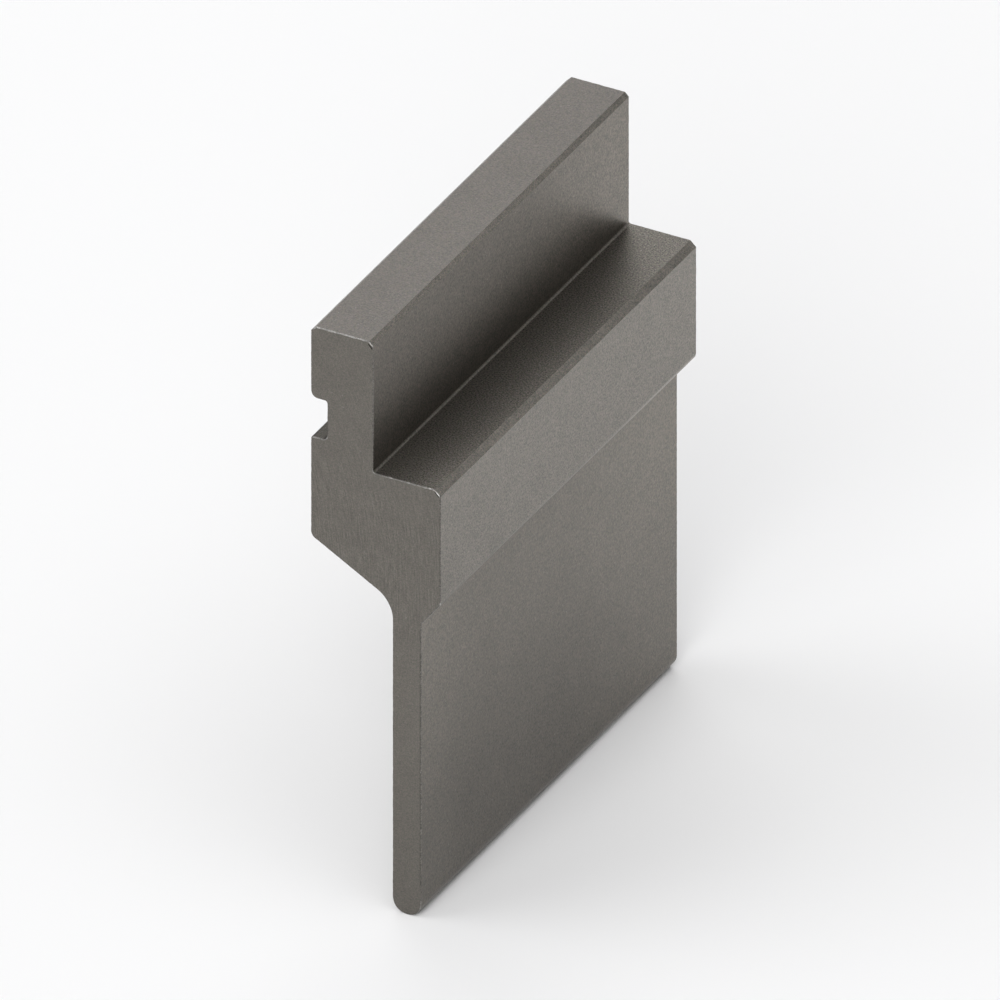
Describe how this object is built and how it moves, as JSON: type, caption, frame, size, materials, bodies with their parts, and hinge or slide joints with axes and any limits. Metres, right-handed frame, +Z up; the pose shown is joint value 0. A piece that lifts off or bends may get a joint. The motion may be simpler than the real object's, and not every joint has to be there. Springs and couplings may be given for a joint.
{
  "type": "press brake punch",
  "caption": "Straight press brake punch with an offset tang, a safety groove, a wide shoulder seat and a thin blade ending in a full-round nose.",
  "frame": {"origin": "on the shoulder seat, midway along the tool and straight above the line of the nose", "axes": "+Z up out of the shoulder seat towards the tang's top, +Y along the bend line, +X from the tang towards the shoulder's outer edge"},
  "size_m": [0.027, 0.1, 0.121],
  "materials": {
    "tool_steel": "dark satin, fine-grained, with ground end faces"
  },
  "bodies": {
    "root": {"punch": "tool_steel"}
  },
  "joints": []
}
